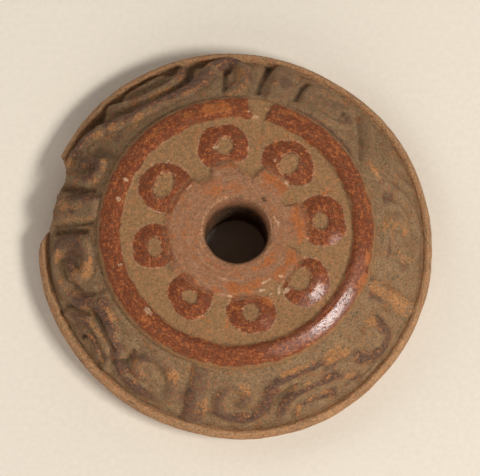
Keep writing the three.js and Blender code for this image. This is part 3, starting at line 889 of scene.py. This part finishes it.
class Finish:
    """A material's nodes, added one after another from its marks and patterns."""

    def __init__(self, name):
        self.material = bpy.data.materials.new(name)
        self.material.use_nodes = True
        self.tree = self.material.node_tree
        self.shader = self.tree.nodes["Principled BSDF"]
        place = self.add("ShaderNodeTexCoord").outputs["Object"]
        to_mm = self.add("ShaderNodeMapping", {"Scale": (MM, MM, MM)})
        self.join(place, to_mm.inputs["Vector"])
        self.place = to_mm.outputs["Vector"]

    def add(self, kind, values=(), **settings):
        node = self.tree.nodes.new(kind)
        for key, value in settings.items():
            setattr(node, key, value)
        for key, value in dict(values).items():
            self.feed(value, node.inputs[key])
        return node

    def join(self, output, socket):
        self.tree.links.new(output, socket)

    def feed(self, value, socket):
        if isinstance(value, bpy.types.NodeSocket):
            self.join(value, socket)
        elif socket.type == "RGBA" and len(value) == 3:
            socket.default_value = (*value, 1)
        else:
            socket.default_value = value

    def mark(self, name):
        return self.add("ShaderNodeAttribute", attribute_name=name).outputs["Fac"]

    def maths(self, operation, *values):
        node = self.add("ShaderNodeMath", operation=operation)
        for value, socket in zip(values, node.inputs, strict=False):
            self.feed(value, socket)
        return node.outputs[0]

    def grain(self, scale, detail=4.0, roughness=0.6, place=None):
        """Noise from about -1 to 1 with lumps of about 1 mm at a scale of 1."""
        values = {
            "Vector": place or self.place,
            "Scale": scale,
            "Detail": detail,
            "Roughness": roughness,
        }
        made = self.add("ShaderNodeTexNoise", values).outputs["Fac"]
        return self.maths("MULTIPLY_ADD", made, 5.0, -2.5)

    def specks(self, scale, size, share):
        """Small round spots, 0 to 1, in a share of the cells of a scatter."""
        values = {"Vector": self.place, "Scale": scale}
        cells = self.add("ShaderNodeTexVoronoi", values)
        spot = self.step(cells.outputs["Distance"], size, 0.4 * size)
        picked = self.step(cells.outputs["Color"], 1.0 - share, 1.05 - share)
        return self.times(spot, picked)

    def total(self, *terms):
        """The sum of values, each times its weight."""
        made = None
        for value, weight in terms:
            if made is None:
                made = self.maths("MULTIPLY", value, weight)
            else:
                made = self.maths("MULTIPLY_ADD", value, weight, made)
        return made

    def step(self, value, low, high):
        values = {"Value": value, "From Min": low, "From Max": high}
        node = self.add("ShaderNodeMapRange", values, interpolation_type="SMOOTHSTEP")
        return node.outputs["Result"]

    def times(self, value, other):
        return self.maths("MULTIPLY", value, other)

    def share(self, value, low, high, most):
        """A smooth step from 0 up to the most of it that is wanted."""
        return self.times(self.step(value, low, high), most)

    def cover(self, under, over, low, high, *terms, most=None):
        """One colour over another where a sum of terms rises from low to high."""
        made = self.step(self.total(*terms), low, high)
        if most is not None:
            made = self.times(made, most)
        return self.blend(made, under, over)

    def blend(self, share, under, over):
        node = self.add("ShaderNodeMix", data_type="RGBA")
        for value, key in ((share, 0), (under, 6), (over, 7)):
            self.feed(value, node.inputs[key])
        return node.outputs[2]

    def mixed(self, share, under, over):
        node = self.add("ShaderNodeMix", data_type="FLOAT")
        for value, key in ((share, 0), (under, 2), (over, 3)):
            self.feed(value, node.inputs[key])
        return node.outputs[0]


def clay_finish(colours):
    """Fired clay with burnished red slip, brown slip, bare rubbed clay and earth."""
    clay = Finish("fired_clay")
    tint = {key: tuple(getattr(colours, key)) for key in WhorlColours.__annotations__}
    level = clay.add("ShaderNodeVectorMath", {0: clay.place, 1: (1, 1, 0)}, operation="MULTIPLY")
    radius = clay.add(
        "ShaderNodeVectorMath", {0: level.outputs[0]}, operation="LENGTH"
    ).outputs["Value"]
    parts = clay.add("ShaderNodeSeparateXYZ", {0: clay.place}).outputs
    around = clay.add(
        "ShaderNodeCombineXYZ",
        {
            0: clay.times(parts["X"], 0.3),
            1: clay.times(parts["Y"], 0.3),
            2: clay.times(radius, 2.0),
        },
    ).outputs[0]

    broad = clay.grain(0.25, 3.0)
    patch = clay.grain(0.55, 5.0, 0.62)
    blot = clay.grain(1.4, 4.0, 0.65)
    fleck = clay.grain(2.2, 4.0, 0.75)
    speck = clay.grain(3.6, 3.0, 0.75)
    dust = clay.grain(6.0, 2.0, 0.8)
    streak = clay.grain(1.0, 4.0, 0.7, around)
    scratch = clay.grain(2.6, 3.0, 0.7, around)
    uneven = clay.total((patch, 0.16), (blot, 0.22), (fleck, 0.2), (speck, 0.16))

    # Flank: earth, then slip on the strokes, ochre where rubbed, grime and painted shade in the
    # deep lines and beside the strokes
    mottle = clay.total((patch, 0.3), (blot, 0.4), (fleck, 0.35), (speck, 0.2))
    terms = (patch, 0.9), (fleck, 0.5)
    ground = clay.cover(tint["earth"], tint["olive_earth"], 0.0, 1.5, *terms)
    terms = (blot, 0.8), (patch, -0.5), (speck, 0.4)
    ground = clay.cover(ground, tint["dusty_earth"], 0.0, 1.3, *terms)
    terms = (clay.mark("high"), 0.55), (clay.mark("slip"), 0.8), (mottle, 0.8)
    flank = clay.cover(ground, tint["brown_slip"], 0.1, 0.8, *terms, most=0.92)
    rubbed = clay.mark("rubbed")
    terms = (rubbed, 0.95), (clay.mark("edge"), 0.55), (mottle, 0.8)
    flank = clay.cover(flank, tint["ochre"], 0.35, 1.05, *terms, most=0.9)
    grime_and_shade = clay.total((clay.mark("grime_and_shade"), 1.0), (uneven, 0.5))
    grime_and_shade_share = clay.share(grime_and_shade, 0.2, 1.0, 0.9)
    crumbs = clay.times(clay.specks(2.1, 0.22, 0.3), 0.5)
    flank = clay.blend(crumbs, flank, tint["pale_clay"])

    # Disc: earth, the hub's clay, red slip, orange clay, then earth, scuffs and painted
    # highlights over all
    terms = (patch, 0.6), (fleck, 0.5)
    floor = clay.cover(tint["disc_earth"], tint["dusty_earth"], 0.0, 1.6, *terms)
    terms = (streak, 0.8), (scratch, 0.5)
    hub_tint = clay.cover(tint["hub_clay"], tint["pale_clay"], 0.0, 1.9, *terms)
    terms = (patch, 0.6), (streak, -0.7), (scratch, -0.3)
    hub_tint = clay.cover(hub_tint, tint["worn_slip"], 0.0, 1.2, *terms)
    terms = (clay.mark("hub"), 1.0), (uneven, 0.9)
    disc = clay.cover(floor, hub_tint, 0.3, 0.7, *terms)
    terms = (blot, 0.7), (scratch, 0.8), (fleck, 0.3)
    red_tint = clay.cover(tint["red_slip"], tint["worn_slip"], -0.3, 1.2, *terms)
    red = clay.maths("MAXIMUM", clay.mark("boss"), clay.mark("ridge"))
    red_share = clay.step(clay.total((red, 1.0), (uneven, 1.0)), 0.1, 1.0)
    disc = clay.blend(red_share, disc, red_tint)
    terms = (rubbed, 1.0), (uneven, 1.0), (scratch, 0.15)
    disc = clay.cover(disc, tint["orange_clay"], 0.25, 0.95, *terms, most=0.9)
    soil = clay.maths("MAXIMUM", clay.mark("pit"), clay.mark("earth"))
    disc = clay.cover(disc, floor, 0.35, 0.85, (soil, 1.0), (uneven, 0.8))
    terms = (radius, -1.0), (uneven, 0.8)
    disc = clay.cover(disc, tint["pale_clay"], -5.5, -5.0, *terms, most=0.8)
    grit = clay.times(clay.specks(2.6, 0.26, 0.42), 0.5)
    disc = clay.blend(grit, disc, tint["pale_clay"])
    # Pale fringes: worn edges of the bosses and their pits, and the dust and painted highlight
    # along the ridge's inner edge.
    terms = (clay.mark("fringe"), 1.0), (uneven, 0.9), (scratch, 0.3)
    disc = clay.cover(disc, tint["pale_clay"], 0.4, 1.3, *terms, most=0.55)
    # Scuffs, with the painted highlight on the boss at 323 degrees among them.
    terms = (clay.mark("scuff_and_highlight"), 1.0), (uneven, 0.7), (scratch, 0.2)
    disc = clay.cover(disc, tint["pale_clay"], 0.25, 0.75, *terms)

    # Rim, bore with painted shade down the hole, and break
    terms = (streak, 0.6), (blot, 0.6)
    rim = clay.cover(tint["rim_clay"], tint["brown_slip"], 0.0, 1.2, *terms)
    # Painted shade: the spindle hole goes near black towards its bottom.
    terms = (parts["Z"], 1.0), (uneven, 0.8)
    bore = clay.cover(tint["soot"], tint["hub_clay"], 7.0, 13.8, *terms)

    on_disc = clay.step(clay.mark("disc"), 0.3, 0.7)
    colour = clay.blend(on_disc, flank, disc)
    colour = clay.cover(colour, rim, 0.3, 0.7, (clay.mark("rim"), 1.0), (uneven, 0.6))
    colour = clay.blend(clay.mark("broken"), colour, rim)
    # Grime and painted shade: dark colour in the deep lines and beside the strokes, with the
    # disc's dark pores and dirt.
    colour = clay.blend(grime_and_shade_share, colour, tint["grime_and_shade"])
    colour = clay.blend(clay.step(clay.mark("bore"), 0.3, 0.7), colour, bore)
    terms = (clay.mark("hollow"), 1.0), (uneven, 0.5)
    colour = clay.cover(colour, tint["earth"], 0.1, 0.9, *terms, most=0.3)
    terms = (fleck, 0.8), (patch, 0.5)
    colour = clay.cover(colour, tint["warm_stain"], -0.1, 1.1, *terms, most=0.45)
    terms = (speck, 0.7), (blot, -0.6)
    colour = clay.cover(colour, tint["cool_stain"], 0.0, 1.1, *terms, most=0.4)
    shade = clay.total((dust, 0.2), (speck, 0.3), (fleck, 0.24), (blot, 0.1), (broad, 0.05))
    shade = clay.times(shade, clay.mixed(on_disc, 1.4, 1.0))
    toned = clay.add(
        "ShaderNodeHueSaturation",
        {"Color": colour, "Value": clay.maths("ADD", shade, 1.0)},
    )
    clay.feed(toned.outputs["Color"], clay.shader.inputs["Base Color"])

    glossy = clay.times(red_share, clay.mark("burnish"))
    dulled = clay.total((scratch, 0.07), (fleck, 0.05))
    dulled = clay.maths("ADD", dulled, 0.25)
    clay.feed(clay.mixed(glossy, 0.75, dulled), clay.shader.inputs["Roughness"])
    clay.feed(clay.mixed(glossy, 0.3, 0.7), clay.shader.inputs["Specular IOR Level"])
    height = clay.total((speck, 0.5), (fleck, 1.0), (blot, 0.8), (streak, 0.2))
    height = clay.times(height, clay.mixed(glossy, 1.0, 0.15))
    bump = clay.add(
        "ShaderNodeBump",
        {"Distance": clay.mixed(on_disc, 0.00006, 0.00004), "Height": height},
    )
    clay.feed(bump.outputs["Normal"], clay.shader.inputs["Normal"])
    return clay.material


def table_finish(colours):
    """Pale matt paper with a faint tooth."""
    paper = Finish("pale_table")
    tooth = paper.grain(1.2, 3.0)
    tint = tuple(colours.table)
    deeper = tuple(0.94 * c for c in tint)
    share = paper.step(tooth, -1.5, 1.5)
    paper.feed(paper.blend(share, tint, deeper), paper.shader.inputs["Base Color"])
    paper.shader.inputs["Roughness"].default_value = 0.9
    paper.shader.inputs["Specular IOR Level"].default_value = 0.2
    return paper.material


# ---- Operators ----

# Soft lights: azimuth and elevation in degrees, width and depth in metres, watts, colour.
LIGHTS = [
    ("key", -29, 53, 0.32, 0.15, 4.9, (1.0, 0.985, 0.96)),
    ("left fill", 158, 36, 0.7, 0.4, 1.7, (1.0, 0.99, 0.98)),
    ("far fill", 65, 36, 0.7, 0.4, 1.0, (1.0, 0.99, 0.98)),
    ("near fill", 265, 34, 0.8, 0.35, 2.1, (1.0, 0.99, 0.98)),
]
LIGHT_DISTANCE = 0.8  # metres from the whorl to each light
CAMERA_TILT = 12  # degrees off straight down
CAMERA_SIDE = 85  # azimuth in degrees that the camera looks towards
CAMERA_AIM = (0.00069, 0.00122, 0.0036)  # metres right of, up from and above the origin
CAMERA_LENS = 400  # millimetres
SHOWN_WIDTH = 0.07347  # metres across the view at the rim


class WHORL_OT_model_clay(bpy.types.Operator):
    """Turn, press, break and finish the clay whorl"""

    bl_idname = "whorl.model_clay"
    bl_label = "Model the clay"

    def execute(self, context):
        sizes = context.scene.whorl_sizes
        stations = profile(sizes)
        piece = spin_profile("whorl_clay", stations, sizes.turn_steps)
        press_relief(piece, sizes, stations, sizes.turn_steps)
        bpy.ops.object.shade_smooth()
        piece.data.materials.append(clay_finish(context.scene.whorl_colours))
        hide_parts("whorl")
        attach(piece, "root")
        return {"FINISHED"}


def area_light(name, azimuth, elevation, width, depth, power, colour):
    """A soft light that faces the whorl from a side and a height in degrees."""
    side, up = math.radians(azimuth), math.radians(elevation)
    level = math.cos(up)
    towards = Vector((math.cos(side) * level, math.sin(side) * level, math.sin(up)))
    bpy.ops.object.light_add(type="AREA", location=towards * LIGHT_DISTANCE)
    light = bpy.context.object
    light.name = name
    light.rotation_euler = towards.to_track_quat("Z", "Y").to_euler()
    light.data.shape = "RECTANGLE"
    light.data.size = width
    light.data.size_y = depth
    light.data.energy = power
    light.data.color = colour


class WHORL_OT_set_stage(bpy.types.Operator):
    """Lay the pale table, and set the lights and the camera"""

    bl_idname = "whorl.set_stage"
    bl_label = "Set the stage"

    def execute(self, context):
        scene = context.scene
        bpy.ops.object.select_all(action="DESELECT")
        bpy.ops.mesh.primitive_plane_add(size=3, location=(0, 0, WHORL_LOW.z))
        table = bpy.context.object
        table.name = "table"
        bpy.ops.object.transform_apply(location=True)
        table.data.materials.append(table_finish(scene.whorl_colours))

        for light in LIGHTS:
            area_light(*light)
        world = bpy.data.worlds.new("studio")
        world.use_nodes = True
        background = world.node_tree.nodes["Background"]
        background.inputs["Color"].default_value = (1.0, 0.99, 0.97, 1)
        background.inputs["Strength"].default_value = 0.04
        scene.world = world
        scene.view_settings.view_transform = "Standard"

        tilt, side = math.radians(CAMERA_TILT), math.radians(CAMERA_SIDE)
        level = -math.sin(tilt)
        back = Vector((level * math.cos(side), level * math.sin(side), math.cos(tilt)))
        right = Vector((0, 1, 0)).cross(back).normalized()
        up = back.cross(right)
        across, along, above = CAMERA_AIM
        aim = Vector((0, 0, above)) + right * across + up * along
        bpy.ops.object.camera_add()
        camera = bpy.context.object
        camera.data.lens = CAMERA_LENS
        camera.data.clip_end = 20
        distance = SHOWN_WIDTH * CAMERA_LENS / camera.data.sensor_width
        turn = Matrix((right, up, back)).transposed().to_4x4()
        camera.matrix_world = Matrix.Translation(aim + back * distance) @ turn
        scene.camera = camera
        return {"FINISHED"}


class WHORL_PT_panel(bpy.types.Panel):
    """Buttons and sizes for the clay whorl"""

    bl_idname = "WHORL_PT_panel"
    bl_label = "Clay whorl"
    bl_space_type = "VIEW_3D"
    bl_region_type = "UI"
    bl_category = "Whorl"

    def draw(self, context):
        layout = self.layout
        for group in (context.scene.whorl_sizes, context.scene.whorl_colours):
            column = layout.column()
            for key in group.__annotations__:
                column.prop(group, key)
        layout.operator(WHORL_OT_model_clay.bl_idname)
        layout.operator(WHORL_OT_set_stage.bl_idname)


CLASSES = (
    WhorlSizes,
    WhorlColours,
    WHORL_OT_model_clay,
    WHORL_OT_set_stage,
    WHORL_PT_panel,
)


def register():
    for cls in CLASSES:
        bpy.utils.register_class(cls)
    bpy.types.Scene.whorl_sizes = PointerProperty(type=WhorlSizes)
    bpy.types.Scene.whorl_colours = PointerProperty(type=WhorlColours)


def unregister():
    del bpy.types.Scene.whorl_colours
    del bpy.types.Scene.whorl_sizes
    for cls in reversed(CLASSES):
        bpy.utils.unregister_class(cls)


def main():
    register()
    bpy.ops.whorl.model_clay()
    bpy.ops.whorl.set_stage()


if __name__ == "__main__":
    main()
